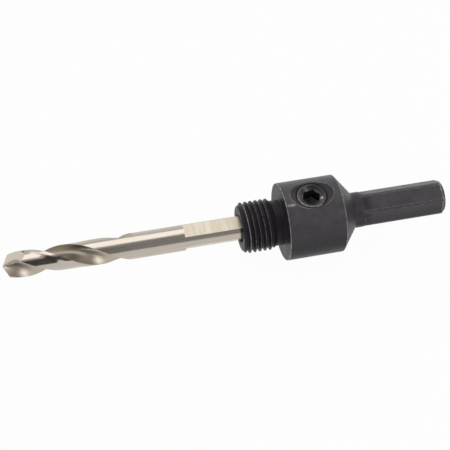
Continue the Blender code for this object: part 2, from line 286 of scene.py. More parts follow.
def rounded(corners, steps=6):
    """A polyline whose corners are arcs; corners is a list of (station, radius, rounding).

    Each arc is tangent to both sides: its centre lies on the corner's bisector, at the rounding
    over the sine of half the corner's angle.
    """
    places = np.array([corner[:2] for corner in corners], dtype=float)
    out = [places[:1]]
    t = np.linspace(0, 1, steps + 1)[:, None]
    for i in range(1, len(corners) - 1):
        rounding = corners[i][2]
        before, here, after = places[i - 1:i + 2]
        if rounding == 0:
            out.append(here[None])
            continue
        a = (before - here) / np.linalg.norm(before - here)
        b = (after - here) / np.linalg.norm(after - here)
        half = acos(np.clip(a @ b, -1, 1)) / 2
        centre = here + (a + b) / np.linalg.norm(a + b) * rounding / sin(half)
        start = here + a * rounding / tan(half) - centre
        end = here + b * rounding / tan(half) - centre
        sweep = pi - 2 * half
        arc = (np.sin((1 - t) * sweep) * start + np.sin(t * sweep) * end) / sin(sweep)
        out.append(centre + arc)
    out.append(places[-1:])
    return np.concatenate(out)


def divided(line, step_at):
    """Put more points on a polyline, so that no step is longer than step_at(station) there."""
    out = [line[:1]]
    for a, b in zip(line[:-1], line[1:]):
        count = max(1, ceil(np.linalg.norm(b - a) / step_at((a[0] + b[0]) / 2)))
        t = np.linspace(0, 1, count + 1)[1:, None]
        out.append(a + (b - a) * t)
    return np.concatenate(out)


def crossing(low, high, is_low):
    """Where a condition stops holding between low and high, by halving the stretch 40 times."""
    for _ in range(40):
        middle = (low + high) / 2
        holds = is_low(middle)
        low = np.where(holds, middle, low)
        high = np.where(holds, high, middle)
    return (low + high) / 2


def ring_quads(rows, columns):
    """Corner numbers of the quads of a grid whose columns close into a ring."""
    i, j = np.meshgrid(np.arange(rows - 1), np.arange(columns), indexing="ij")
    k = (j + 1) % columns
    return np.stack([i * columns + j, i * columns + k, (i + 1) * columns + k, (i + 1) * columns + j],
                    axis=-1)


def fan(ring, pole):
    """Triangles from a ring of vertex numbers to one pole."""
    following = np.roll(ring, -1)
    return np.stack([ring, following, np.full(len(ring), pole)], axis=-1)


def make_mesh(name, points, quads, triangles, attributes=None):
    """Write vertices and faces into a mesh whose faces point out."""
    mesh = bpy.data.meshes.new(name)
    corners = np.concatenate([quads.reshape(-1), triangles.reshape(-1)]).astype(np.int32)
    starts = np.concatenate([
        np.arange(len(quads)) * 4, len(quads) * 4 + np.arange(len(triangles)) * 3]).astype(np.int32)
    mesh.vertices.add(len(points))
    mesh.vertices.foreach_set("co", to_row(points).astype(np.float32).reshape(-1))
    mesh.loops.add(len(corners))
    mesh.loops.foreach_set("vertex_index", corners)
    mesh.polygons.add(len(starts))
    mesh.polygons.foreach_set("loop_start", starts)
    mesh.update(calc_edges=True)
    for key, values in (attributes or {}).items():
        layer = mesh.attributes.new(key, "FLOAT", "POINT")
        layer.data.foreach_set("value", values.astype(np.float32))
    bm = bmesh.new()
    bm.from_mesh(mesh)
    bmesh.ops.recalc_face_normals(bm, faces=bm.faces)
    bm.to_mesh(mesh)
    bm.free()
    if mesh.validate():
        raise ValueError(f"{name} had bad faces")
    return mesh


def closed_mesh(name, rings, first_pole, last_pole, attributes=None):
    """A mesh of rings of points, one after another, with a fan to a pole at each end."""
    rows, columns = rings.shape[:2]
    total = rows * columns
    numbers = np.arange(total).reshape(rows, columns)
    points = np.concatenate([rings.reshape(-1, 3), [first_pole, last_pole]])
    triangles = np.concatenate([fan(numbers[0][::-1], total), fan(numbers[-1], total + 1)])
    return make_mesh(name, points, ring_quads(rows, columns).reshape(-1, 4), triangles, attributes)


def add_object(name, content):
    """Link a new object to the scene."""
    made = bpy.data.objects.new(name, content)
    bpy.context.scene.collection.objects.link(made)
    return made


def cut_away(mesh, cutter_mesh):
    """A mesh of the first less the second; both of the old ones are removed."""
    name = mesh.name
    holder, cutter = add_object("holder", mesh), add_object("cutter", cutter_mesh)
    cut = holder.modifiers.new("cut", "BOOLEAN")
    cut.operation = "DIFFERENCE"
    cut.solver = "EXACT"
    cut.object = cutter
    graph = bpy.context.evaluated_depsgraph_get()
    opened = bpy.data.meshes.new_from_object(holder.evaluated_get(graph))
    for made in (holder, cutter):
        bpy.data.objects.remove(made)
    for old in (mesh, cutter_mesh):
        bpy.data.meshes.remove(old)
    opened.name = name
    return opened


def add_piece(name, mesh, body, node):
    """Link a finished piece, ride it on its body and let it stand for its CAD node."""
    piece = add_object(name, mesh)
    mesh.shade_smooth()
    mesh.set_sharp_from_angle(angle=smooth_angle)
    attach(piece, body)
    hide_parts(node)


# Materials

def wire(tree, node, inputs):
    """Set a node's inputs, or link them where another node's output is given."""
    for key, value in inputs.items():
        if isinstance(value, bpy.types.NodeSocket):
            tree.links.new(value, node.inputs[key])
        else:
            node.inputs[key].default_value = value


def add_node(tree, kind, inputs=None, output=0, **settings):
    """Add a node with its options and inputs, and return one of its outputs."""
    node = tree.nodes.new("ShaderNode" + kind)
    for key, value in settings.items():
        setattr(node, key, value)
    wire(tree, node, inputs or {})
    return node.outputs[output]


def noise(tree, place, scale, detail, roughness):
    """Noise over a place, 0 to 1."""
    return add_node(tree, "TexNoise", {
        "Vector": place, "Scale": scale, "Detail": detail, "Roughness": roughness})


def remap(tree, value, low, high, new_low=0, new_high=1, **settings):
    """Carry a value from one range to another and clip it there."""
    return add_node(tree, "MapRange", {
        "Value": value, "From Min": low, "From Max": high, "To Min": new_low, "To Max": new_high,
    }, **settings)


def blend(tree, share, first, second):
    """Mix two colours: sockets 6 and 7 are a Mix node's colours, and output 2 is theirs."""
    return add_node(tree, "Mix", {0: share, 6: first, 7: second}, 2, data_type="RGBA")


def new_material(name):
    """A material, its node tree and its Principled shader."""
    material = bpy.data.materials.new(name)
    material.use_nodes = True
    tree = material.node_tree
    return material, tree, tree.nodes["Principled BSDF"]


def black_oxide(name, base, light, bare, roughness, gloss):
    """Turned steel with a black oxide finish.

    The film is a dark, faintly brown grey that keeps the satin gloss of the metal under it. Fine
    turning rings catch the light, and sharp edges are rubbed back to bare steel.
    """
    material, tree, shader = new_material(name)
    place = add_node(tree, "TexCoord", output="Object")
    split = add_node(tree, "SeparateXYZ", {"Vector": place}).node.outputs
    height = add_node(tree, "Math", {0: split["Z"], 1: axis_height}, operation="SUBTRACT")
    aside = add_node(tree, "CombineXYZ", {"X": split["Y"], "Y": height})
    radius = add_node(tree, "VectorMath", {0: aside}, "Value", operation="LENGTH")
    turned = add_node(tree, "CombineXYZ", {"X": split["X"], "Y": radius})

    # The feed was about 0.1 mm a turn. Rings are drawn about three times as coarse, to show.
    rings = noise(tree, turned, 3200, 3, 0.6)
    patches = noise(tree, place, 420, 4, 0.6)
    film_tone = blend(tree, remap(tree, patches, 0.35, 0.7), (*base, 1), (*light, 1))

    # Painted shade: in recesses, on the lowest side and where the flats begin, the film is drawn
    # blacker and duller where shade falls
    shade_amount = add_node(tree, "Attribute", output="Fac", attribute_name="painted_shade")
    coat = blend(tree, shade_amount, film_tone, (*[v * 0.6 for v in base], 1))

    # Wear is broken up by noise of about half a millimetre, and so is the screw's painted highlight
    wear = add_node(tree, "Attribute", output="Fac", attribute_name="wear_and_glint")
    broken = noise(tree, place, 1900, 3, 0.7)
    rubbed = add_node(tree, "Math", {0: wear, 1: broken}, operation="MULTIPLY")
    worn = remap(tree, rubbed, 0.22, 0.55)
    wire(tree, shader, {
        "Base Color": blend(tree, worn, coat, (*bare, 1)),
        "Metallic": remap(tree, worn, 0, 1, 0.05, 1),
        "Specular IOR Level": remap(tree, shade_amount, 0, 1, gloss, gloss * 0.28),
        "Roughness": remap(tree, patches, 0.3, 0.7, roughness - 0.05, roughness + 0.07),
        "Normal": add_node(tree, "Bump", {"Height": rings, "Strength": 0.25, "Distance": 0.00002})})
    return material


def ground_steel(name, bright, dark, roughness, marks_on, pitches, bump_height):
    """Ground high speed steel: a warm grey with straight, fine scratches left by the wheel.

    pitches are the sizes of the marks, in metres, along the directions of marks_on.
    """
    material, tree, shader = new_material(name)
    place = add_node(tree, "TexCoord", output=marks_on)
    squeezed = add_node(tree, "Mapping", {"Vector": place, "Scale": [1 / size for size in pitches]})
    marks = noise(tree, squeezed, 1, 3, 0.6)
    wire(tree, shader, {
        "Base Color": blend(tree, remap(tree, marks, 0.36, 0.64), (*dark, 1), (*bright, 1)),
        "Metallic": 1,
        "Roughness": remap(tree, marks, 0.3, 0.7, roughness - 0.04, roughness + 0.06),
        "Normal": add_node(tree, "Bump", {
            "Height": marks, "Strength": 0.3, "Distance": bump_height})})
    return material


def white_paper(paper):
    """White paper: it shows white to the camera and in the metal, and keeps a faint shadow."""
    material, tree, shader = new_material("white_paper")
    wire(tree, shader, {"Base Color": (*paper, 1), "Roughness": 0.9, "Specular IOR Level": 0})
    path = add_node(tree, "LightPath").node.outputs
    seen = add_node(tree, "Math", {0: path["Is Camera Ray"], 1: path["Is Glossy Ray"]}, operation="ADD")
    seen = add_node(tree, "Math", {0: seen, 1: path["Is Transmission Ray"]}, operation="ADD",
                    use_clamp=True)
    share = add_node(tree, "Math", {0: seen, 1: 0.965}, operation="MULTIPLY")
    glow = add_node(tree, "Emission", {"Color": (1, 1, 1, 1), "Strength": 1})
    mixed = add_node(tree, "MixShader", {0: share, 1: shader.outputs[0], 2: glow})
    wire(tree, tree.nodes["Material Output"], {"Surface": mixed})
    return material


# Turned body

def hexagon_radius(turn, across_flats, first_flat):
    """Distance to a hexagon's side: half across flats over the cosine of the angle to its middle."""
    off = off_middle(turn - first_flat, pi / 3)
    return across_flats / 2 / np.cos(off), off


def half_flat_angle(sizes):
    """Half the angle that one flat of the shank takes: its cosine is half across flats over radius."""
    return acos(sizes.hex_across_flats / 2 / sizes.neck_radius)


def hexagon_start(sizes):
    """Station where the shank's flats begin."""
    return sizes.head_length + sizes.cone_length + sizes.neck_length


def groove_depth(along, pitch):
    """Depth of a thread's 60 degree groove, flat at the root; its middles are multiples of pitch."""
    depth = thread_depth_share * pitch
    half_mouth = root_flat_share * pitch / 2 + depth * flank_slope
    return np.clip((half_mouth - np.abs(off_middle(along, pitch))) / flank_slope, 0, depth)


def body_columns(sizes):
    """Angles of the grid's columns, closer together where the hexagon's flats meet its corners."""
    half_flat = half_flat_angle(sizes)
    sector = pi / 3
    soft = radians(0.5)
    flat = np.linspace(-half_flat + soft, half_flat - soft, 21)
    corner = np.linspace(half_flat + soft, sector - half_flat - soft, 7)
    one = np.concatenate([flat, [half_flat], corner, [sector - half_flat]])
    turns = (sizes.hex_turn + one[None] + sector * np.arange(6)[:, None]).reshape(-1)
    return np.sort(off_middle(turns, 2 * pi))


def body_outline(sizes):
    """Outline of the body from the bore's floor round the nose, head and shank to its end."""
    nose = -sizes.nose_length
    bore = sizes.bore_radius
    crest = sizes.thread_radius
    bore_floor = nose + bore_depth
    root = crest - thread_depth_share * sizes.thread_pitch - 0.00004
    return rounded([
        (bore_floor + bore / tan(bore_point_angle / 2), 0, 0),
        (bore_floor, bore, 0),
        (nose + bore_chamfer, bore, 0.0001),
        (nose, bore + bore_chamfer, 0.0001),
        (nose, crest - nose_chamfer, 0.00012),
        (nose + nose_chamfer, crest, 0.0001),
        (-undercut_length - (crest - root), crest, 0.0001),
        (-undercut_length, root, 0.00025),
        (0, root, 0.0003),
        (0, sizes.head_radius, 0.00016),
        (sizes.head_length, sizes.head_radius, 0.00014),
        (sizes.head_length + sizes.cone_length, sizes.neck_radius, 0.0002),
        (sizes.shank_end - sizes.shank_chamfer, sizes.neck_radius, 0.0002),
        (sizes.shank_end, sizes.neck_radius - sizes.shank_chamfer, 0.00012),
        (sizes.shank_end, 0, 0),
    ])


def on_nose(sizes, station, radius):
    """Whether places on the outline are on the outside of the nose, ahead of the undercut."""
    return (station < -undercut_length) & (radius > sizes.bore_radius + 0.0005)


def body_radius(sizes, station, radius, turn):
    """The outline's radius less the nose thread's groove and what the shank's flats take off."""
    pitch = sizes.thread_pitch
    middle = -sizes.nose_length + sizes.thread_start + pitch * turn / (2 * pi)
    depth = groove_depth(station - middle, pitch)
    grooved = soft_min(radius, sizes.thread_radius - depth, 0.00004)
    threaded = np.where(on_nose(sizes, station, radius), grooved, radius)
    flat, _ = hexagon_radius(turn, sizes.hex_across_flats, sizes.hex_turn)
    start = hexagon_start(sizes)
    step = sizes.neck_radius - sizes.hex_across_flats / 2
    rise = step * smooth_step((start + 0.0003 - station) / 0.0006) * 1.5
    return np.where(station > start - 0.001, soft_min(threaded, flat + rise, 0.00003), threaded)


def rubbed_spot(head, station, turn):
    """Wear of the long spot that is rubbed bright between the head's front rim and the hole."""
    aside = head * (turn - radians(14.7))
    return 0.95 * near(np.hypot((station - 0.0013) / 3, aside), 0.0005)


def body_wear(sizes, station, radius, turn, shaped):
    """How far edges are rubbed bare, 0 to 1: bell curves about the crests, corners and rims."""
    head = sizes.head_radius
    nose = -sizes.nose_length
    on_thread = on_nose(sizes, station, radius) & (station > nose + nose_chamfer / 2)
    crests = np.where(on_thread, near(sizes.thread_radius - shaped, 0.00004), 0)
    crests = crests * np.where(station < nose + 0.0021, 1.1, 0.72)
    _, off_flat = hexagon_radius(turn, sizes.hex_across_flats, sizes.hex_turn)
    off_corner = (np.abs(off_flat) - half_flat_angle(sizes)) * sizes.neck_radius
    corners = np.where(station > hexagon_start(sizes) + 0.001, 0.57 * near(off_corner, 0.00012), 0)

    def rim(at, rim_radius, width):
        """A bell curve of the distance to a rim."""
        return near(np.hypot(station - at, radius - rim_radius), width)

    end = sizes.shank_end - sizes.shank_chamfer
    return highest(
        crests, corners, rubbed_spot(head, station, turn), rim(0, head, 0.0002),
        0.75 * rim(sizes.head_length, head, 0.00018), 0.8 * rim(end, sizes.neck_radius, 0.0002))


def body_painted_shade(sizes, station, turn):
    """Painted shade on the film, 0 to 1.

    It covers the nose, the undercut and the shoulder, where shade falls. There is some on the cone and
    where the flats begin, and on the side that was lowest.
    """
    start = hexagon_start(sizes)
    _, off_flat = hexagon_radius(turn, sizes.hex_across_flats, sizes.hex_turn)
    on_flat = smooth_step((half_flat_angle(sizes) - np.abs(off_flat)) / 0.1)
    at_front = smooth_step((0.0004 - station) / 0.0004)
    at_flats = near(station - start - 0.0003, 0.0012) * on_flat
    on_cone = smooth_step((station - sizes.head_length) / 0.0003)
    on_cone = on_cone * smooth_step((start - station) / 0.001)
    low_side = smooth_step((turn - radians(42)) / 0.96)
    low_side = low_side * smooth_step((radians(240) - turn) / 0.87)
    floor_side_shade = low_side * np.where(station < start, 0.9, 0.4)
    return highest(at_front, floor_side_shade, 0.8 * at_flats, 0.5 * on_cone)


def hole_patch(sizes, boundary):
    """Rings of points from a closed loop on the head down into the tapped hole.

    Each point lies on the ray from the hole's middle through one point of the loop. Its height is
    the lesser of the head, sqrt(R^2 - y^2), and the countersink's cone, which rises outwards by the
    cotangent of its half angle. Past the mouth the rings go down a wall with an inside thread.
    """
    head = sizes.head_radius
    hole = sizes.hole_radius
    u = boundary[:, 2] - sizes.hole_station
    v = boundary[:, 1]
    reach = np.hypot(u, v)
    out_u, out_v = u / reach, v / reach
    rise = 1 / tan(sizes.countersink_angle / 2)
    mouth = head - (sizes.countersink_radius - hole) * rise

    def cone(rho):
        """Height of the countersink at a distance from the hole's middle."""
        return mouth + (rho - hole) * rise

    def cylinder(rho):
        """Height of the head's round at that distance."""
        return np.sqrt(head ** 2 - (rho * out_v) ** 2)

    rim = crossing(np.full(len(u), hole), reach, lambda rho: cone(rho) < cylinder(rho))
    band = np.minimum(0.00012, 0.4 * (rim - hole))
    edge = 0.00005
    steps = [(1 - t) * reach + t * (rim + band) for t in np.linspace(0, 1, 15)[1:-1] ** 0.8]
    steps += [rim + band * t for t in np.linspace(1, -1, 9)]
    steps += [(1 - t) * (rim - band) + t * (hole + edge) for t in np.linspace(0, 1, 7)[1:]]
    rho = np.array(steps)
    height = soft_min(cylinder(rho), cone(rho), 0.00004)
    top = about_hole(height, rho * out_v, rho * out_u)
    right_side = smooth_step((out_u - 0.3) / 0.3)
    lower_left = smooth_step((-out_u - 0.1) / 0.3) * smooth_step((out_v + 0.4) / 0.3)
    rim_wear = near(rho - rim, 0.00012) * (0.3 + np.maximum(0.32 * right_side, 0.55 * lower_left))
    turn = np.arcsin(np.clip(rho * out_v / head, -1, 1))
    wear = np.maximum(rim_wear, rubbed_spot(head, top[..., 2], turn))
    # Painted shade inside the countersink's rim
    shade_amount = 0.6 * smooth_step((rim - rho) / 0.0002)

    # Wall with an inside thread, from the mouth down to a floor just above the bore
    turn = np.arctan2(out_v, out_u)
    floor = sizes.bore_radius + wall_end_over_bore
    pitch = bpy.context.scene.arbor_screw.pitch
    depths = np.arange(mouth - edge, floor, -pitch / 16)
    depths = np.concatenate([[mouth - edge * 0.3], depths, [floor]])[:, None]
    depth = groove_depth(depths - pitch * turn / (2 * pi), pitch)
    fade = smooth_step((mouth - depths) / 0.0003) * smooth_step((depths - floor) / 0.0003)
    wall = hole + depth * 0.7 * fade
    down = about_hole(depths, wall * out_v, wall * out_u)
    worn = np.concatenate([wear, np.zeros(wall.shape)])
    # The hole's wall below the mouth is in full painted shade
    all_painted_shade = np.concatenate([shade_amount, np.ones(wall.shape)])
    return np.concatenate([top, down]), worn, all_painted_shade, [floor, 0, sizes.hole_station]


def turned_body_mesh(sizes):
    """The body as one closed surface: radius as a function of station and angle, with the hole."""
    turns = body_columns(sizes)

    def step_at(station):
        """Longest step between the grid's rows at a station."""
        if -sizes.nose_length < station < -undercut_length - 0.0003:
            return sizes.thread_pitch / 22
        if 0 < station < sizes.head_length:
            return 0.00026
        if abs(station - hexagon_start(sizes)) < 0.0007:
            return 0.00006
        return 0.0007

    line = divided(body_outline(sizes), step_at)
    station, radius = line[1:-1, :1], line[1:-1, 1:]
    shaped = body_radius(sizes, station, radius, turns[None])
    wear = body_wear(sizes, station, radius, turns[None], shaped)
    shade_amount = body_painted_shade(sizes, station, turns[None])
    rows, columns = shaped.shape

    # Rows and columns of the loop round the tapped hole
    on_head = np.isclose(radius[:, 0], sizes.head_radius, atol=1e-6)
    close = np.abs(station[:, 0] - sizes.hole_station) < sizes.countersink_radius + 0.0011
    top, bottom = np.flatnonzero(on_head & close)[[0, -1]]
    left, right = np.flatnonzero(np.abs(turns) < radians(40))[[0, -1]]
    numbers = np.arange(rows * columns).reshape(rows, columns)
    loop = np.concatenate([
        numbers[top, left:right], numbers[top:bottom, right],
        numbers[bottom, right:left:-1], numbers[bottom:top:-1, left]])
    keep = np.ones((rows - 1, columns), dtype=bool)
    keep[top:bottom, left:right] = False
    points = around(shaped, turns[None], station).reshape(-1, 3)
    patch, patch_wear, patch_painted_shade, hole_pole = hole_patch(sizes, points[loop])

    # Faces of the grid, of the patch and round the three poles
    patch_numbers = rows * columns + np.arange(patch_wear.size).reshape(patch_wear.shape)
    rings = np.concatenate([loop[None], patch_numbers])
    a, b = rings[:-1], rings[1:]
    patch_quads = np.stack([a, np.roll(a, -1, axis=1), np.roll(b, -1, axis=1), b], axis=-1)
    quads = np.concatenate([ring_quads(rows, columns)[keep], patch_quads.reshape(-1, 4)])
    pole = rows * columns + patch_wear.size
    triangles = np.concatenate([
        fan(rings[-1], pole), fan(numbers[0][::-1], pole + 1), fan(numbers[-1], pole + 2)])
    poles = [hole_pole, [0, 0, line[0, 0]], [0, 0, line[-1, 0]]]
    everything = np.concatenate([points, patch.reshape(-1, 3), poles])
    attributes = {
        key: np.concatenate([grid.reshape(-1), inside.reshape(-1), np.zeros(3)])
        for key, grid, inside in (("wear_and_glint", wear, patch_wear), ("painted_shade", shade_amount, patch_painted_shade))}
    return make_mesh("turned_body", everything, quads, triangles, attributes)


def open_into_bore(mesh, sizes):
    """Cut the tapped hole on down from its floor into the bore."""
    turns = full_turn(96)
    radius = sizes.hole_radius - 0.00008
    heights = np.array([sizes.bore_radius + 0.0003, hole_cut_from_axis])
    rings = about_hole(heights[:, None], radius * np.sin(turns), radius * np.cos(turns))
    return cut_away(mesh, closed_mesh("lower_hole", rings, *about_hole(heights, 0, 0)))


# Pilot drill

def drill_tip(sizes):
    """Station of the drill's tip: its back end stands a small gap short of the bore's floor."""
    bore_floor = bore_depth - bpy.context.scene.arbor_body.nose_length
    return bore_floor - drill_end_gap - sizes.drill_length


def edge_turn(sizes, station):
    """Angle of the first flute's cutting edge: it turns by tan(helix angle) / radius a metre."""
    helix = (station - drill_tip(sizes)) * tan(sizes.helix_angle) / sizes.radius
    return sizes.tip_turn + helix + sizes.flute_angle / 2


def flute_point(sizes, cleared, place):
    """A flute's outline, as complex numbers, from its heel at place 0 to its corner at the last.

    From the corner at angle 0 the lip runs straight in, half the web ahead of the centre. From the
    lip's start down, one Bezier curve goes on round the floor to the heel.
    """
    ahead = sizes.web / 2
    lean = asin(ahead / sizes.radius)
    corner = sqrt(sizes.radius ** 2 - ahead ** 2)
    lip_end = corner - lip_length
    near_handle = -flute_floor_reach * sizes.radius - flute_floor_web_share * 1j * ahead
    heel = cleared * np.exp(1j * (-sizes.flute_angle - lean))
    far_handle = heel * flute_heel_pull * np.exp(-1j * sizes.heel_hook)
    t = np.clip(1 - place / lip_start, 0, 1)
    floor = ((1 - t) ** 3 * (lip_end - 1j * ahead) + 3 * (1 - t) ** 2 * t * near_handle
             + 3 * (1 - t) * t ** 2 * far_handle + t ** 3 * heel)
    lip = lip_end + lip_length * (place - lip_start) / (flute_points - 1 - lip_start) - 1j * ahead
    return np.where(place < lip_start, floor, lip) * np.exp(1j * lean)


def flute_line(sizes, cleared, lift):
    """The part of a flute's outline that is still in the steel once lift has moved it outwards."""
    shift = lift * np.exp(-0.5j * sizes.flute_angle)
    last = flute_points - 1
    place = np.linspace(0, last, flute_points)
    if lift > 0:
        fine = np.linspace(0, last, 1200)
        inside = np.flatnonzero(np.abs(flute_point(sizes, cleared, fine) + shift) < sizes.radius)
        if len(inside) < 30:
            return None
        place = np.linspace(fine[inside[0]], fine[inside[-1]], flute_points)
    line = flute_point(sizes, cleared, place) + shift
    ends = np.array([line[0], line[-1]])
    line[[0, -1]] = ends / np.abs(ends) * (cleared if lift == 0 else sizes.radius, sizes.radius)
    return line


def drill_outline(sizes, progress, cleared_share):
    """The whole outline, or None where the flutes have run out.

    progress goes from 0 on the full flutes to 1 past their run-out. cleared_share is 1 where the
    lands have their full clearance and 0 where they have none.
    """
    depth = sizes.clearance * cleared_share
    cleared = sizes.radius - depth
    line = flute_line(sizes, cleared, sizes.radius * progress ** 2)
    if line is None:
        return None
    heel, corner = np.angle(line[0]), np.angle(line[-1])
    margin_end = corner + margin_angle
    margin = sizes.radius * np.exp(1j * np.linspace(corner, margin_end, 8)[1:])
    land_turns = np.linspace(margin_end, pi + heel, 25)[1:-1]
    fall = 1 - np.clip((land_turns - margin_end) / clearance_curve_angle, 0, 1)
    land = (cleared + depth * fall ** 2) * np.exp(1j * land_turns)
    half = np.concatenate([line, margin, land])
    return np.concatenate([half, -half])


def point_height(sizes, x, y):
    """Height of the ground point over a place across the axis: the highest of its four facets.

    Behind each lip a relief facet falls by the relief angle, and outwards by the cotangent of half
    the point angle. Past the chisel edge a gash facet falls by the gash angle, and outwards by less.
    """
    tip = drill_tip(sizes)
    slope = 1 / tan(sizes.point_angle / 2)
    relief = tan(sizes.relief_angle)
    gash = tan(sizes.gash_angle)
    gash_slope = tan(sizes.gash_rise)
    half = sizes.chisel_width / 2
    lean = asin(sizes.web / 2 / sizes.radius)
    lip_turn = edge_turn(sizes, tip + sizes.radius * slope / 2) + lean
    heights = []
    for turn in (lip_turn, lip_turn + pi):
        out = x * cos(turn) + y * sin(turn)
        back = -x * sin(turn) + y * cos(turn)
        heights.append(slope * out + relief * back)
        heights.append(gash_slope * out + gash * (back - half) + relief * half)
    return tip + np.maximum.reduce(heights)


def fluted_rows(sizes):
    """Rings of the drill from its ground point's edge to where the flutes have run out.

    Each is an outline turned about the axis by the helix. The first ring lies on the ground point.
    The next ones even out its stations, and the rest are level.
    """
    tip = drill_tip(sizes)
    runout_start = tip + sizes.flute_length - sizes.runout_length
    outline = drill_outline(sizes, 0.0, 1.0)
    count = len(outline)

    def outside(station):
        """Whether the outline at a station is still off the ground point."""
        turned = outline * np.exp(1j * edge_turn(sizes, station))
        return station <= point_height(sizes, turned.real, turned.imag)

    level = tip + levelled_from_tip
    start = crossing(np.full(count, tip - 0.0005), np.full(count, level), outside)
    full = np.linspace(level, runout_start, 170)[1:]
    stations = [start + (level - start) * np.linspace(0, 1, levelling_rings)[:, None],
                np.broadcast_to(full[:, None], (len(full), count))]
    cleared = smooth_step((tip + sizes.cleared_length - full) / sizes.clearance_fade)
    outlines = [np.broadcast_to(outline, (levelling_rings, count)),
                np.array([drill_outline(sizes, 0.0, share) for share in cleared])]
    for progress in np.linspace(0, 1, 91)[1:]:
        lifted = drill_outline(sizes, progress, 0.0)
        if lifted is None:
            break
        stations.append(np.full((1, count), runout_start + sizes.runout_length * progress))
        outlines.append(lifted[None])
    station = np.concatenate(stations)
    turned = np.concatenate(outlines) * np.exp(1j * edge_turn(sizes, station))
    return np.stack([turned.real, turned.imag, station], axis=-1)


def plain_rows(sizes, last_ring):
    """Rings of the drill's plain end, and which of their faces are flats.

    Behind the last fluted ring the columns swing smoothly to angles that meet the flats' edges. They
    keep the numbers that they have in that ring.
    """
    count = len(last_ring)
    third = 2 * pi / 3
    flat_height = sizes.radius - sizes.flat_depth
    half_flat = acos(flat_height / sizes.radius)
    rest = np.linspace(half_flat, third - half_flat, count // 3 - flat_columns + 2)[1:-1]
    one = np.concatenate([np.linspace(-half_flat, half_flat, flat_columns), rest])
    turns = (one[None] + third * np.arange(3)[:, None]).reshape(-1)
    last_turns = np.arctan2(last_ring[:, 1], last_ring[:, 0])
    turns = np.roll(turns, -int(np.argmin(np.abs(np.exp(1j * turns) - np.exp(1j * last_turns[0])))))
    swing = off_middle(turns - last_turns, 2 * pi)
    off = off_middle(turns, third)
    flat_radius = np.minimum(sizes.radius, flat_height / np.cos(off))
    end = drill_tip(sizes) + sizes.drill_length
    start = end - sizes.flat_length
    share = np.linspace(0, 1, 21)[1:, None]
    blend_stations = last_ring[0, 2] + drill_blend_length * share
    flat_stations = np.linspace(start, end - drill_end_chamfer, flat_rings)[:, None]
    rows = [around(sizes.radius, last_turns + swing * smooth_step(share), blend_stations),
            around(sizes.radius, turns, np.array([[start - 0.0004], [start]])),
            around(flat_radius, turns, flat_stations),
            around(flat_radius - drill_end_chamfer, turns, end)[None]]
    on_flat = np.abs(off) < half_flat + 1e-6
    return np.concatenate(rows), on_flat & np.roll(on_flat, -1)


def drill_mesh(sizes):
    """The drill as one closed surface: outlines turned along the helix, from point to back end."""
    fluted = fluted_rows(sizes)
    plain, on_flat = plain_rows(sizes, fluted[-1])

    # Cap: rings drawn in from the point's edge to the middle of the chisel edge
    shrink = np.linspace(1, 0, 46)[1:-1, None]
    x, y = fluted[0, :, 0] * shrink, fluted[0, :, 1] * shrink
    cap = np.stack([x, y, point_height(sizes, x, y)], axis=-1)
    rings = np.concatenate([cap[::-1], fluted, plain])
    tip = drill_tip(sizes)
    mesh = closed_mesh("fluted_drill", rings, [0, 0, tip], [0, 0, tip + sizes.drill_length])

    # Finish of each face: 0 on the round, 1 in the flutes, 2 on the point, 3 on the flats
    rows, count = rings.shape[:2]
    in_flute = np.arange(count) % (count // 2) < flute_points - 1
    kinds = np.zeros((rows - 1, count))
    kinds[:len(cap)] = 2
    kinds[len(cap):len(cap) + len(fluted) - 1] = in_flute
    kinds[-flat_rings:, on_flat] = 3
    kinds = np.concatenate([kinds.reshape(-1), np.full(count, 2), np.zeros(count)])
    mesh.polygons.foreach_set("material_index", kinds.astype(np.int32))
    mark_run(mesh, count)
    return mesh


def mark_run(mesh, columns):
    """Lay the grinding marks' coordinates: u across the grid's columns, v along the axis."""
    places = np.empty(len(mesh.vertices) * 3, dtype=np.float32)
    mesh.vertices.foreach_get("co", places)
    corners = np.empty(len(mesh.loops), dtype=np.int32)
    mesh.loops.foreach_get("vertex_index", corners)
    across = corners % columns / columns * 0.02
    uv = np.stack([across, places[::3][corners]], axis=-1).astype(np.float32)
    mesh.uv_layers.new(name="run_of_marks").data.foreach_set("uv", uv.reshape(-1))


def nick_ball(sizes):
    """The long ball that the small nick is cut with, on the round behind the second edge."""
    station = drill_tip(sizes) + sizes.nick_station - 0.00035
    turn = edge_turn(sizes, station) + pi + sizes.nick_behind
    middle = np.array([sizes.radius * cos(turn), sizes.radius * sin(turn), station])
    stretch = sizes.nick_radius * np.array([1.6, 1.6, 3.4])
    slants = np.linspace(0, pi, 17)[1:-1, None]
    rings = around(np.sin(slants), full_turn(32), np.cos(slants)) * stretch + middle
    poles = np.array([[0, 0, 1], [0, 0, -1]]) * stretch + middle
    return closed_mesh("nick_ball", rings, *poles)


# Set screw

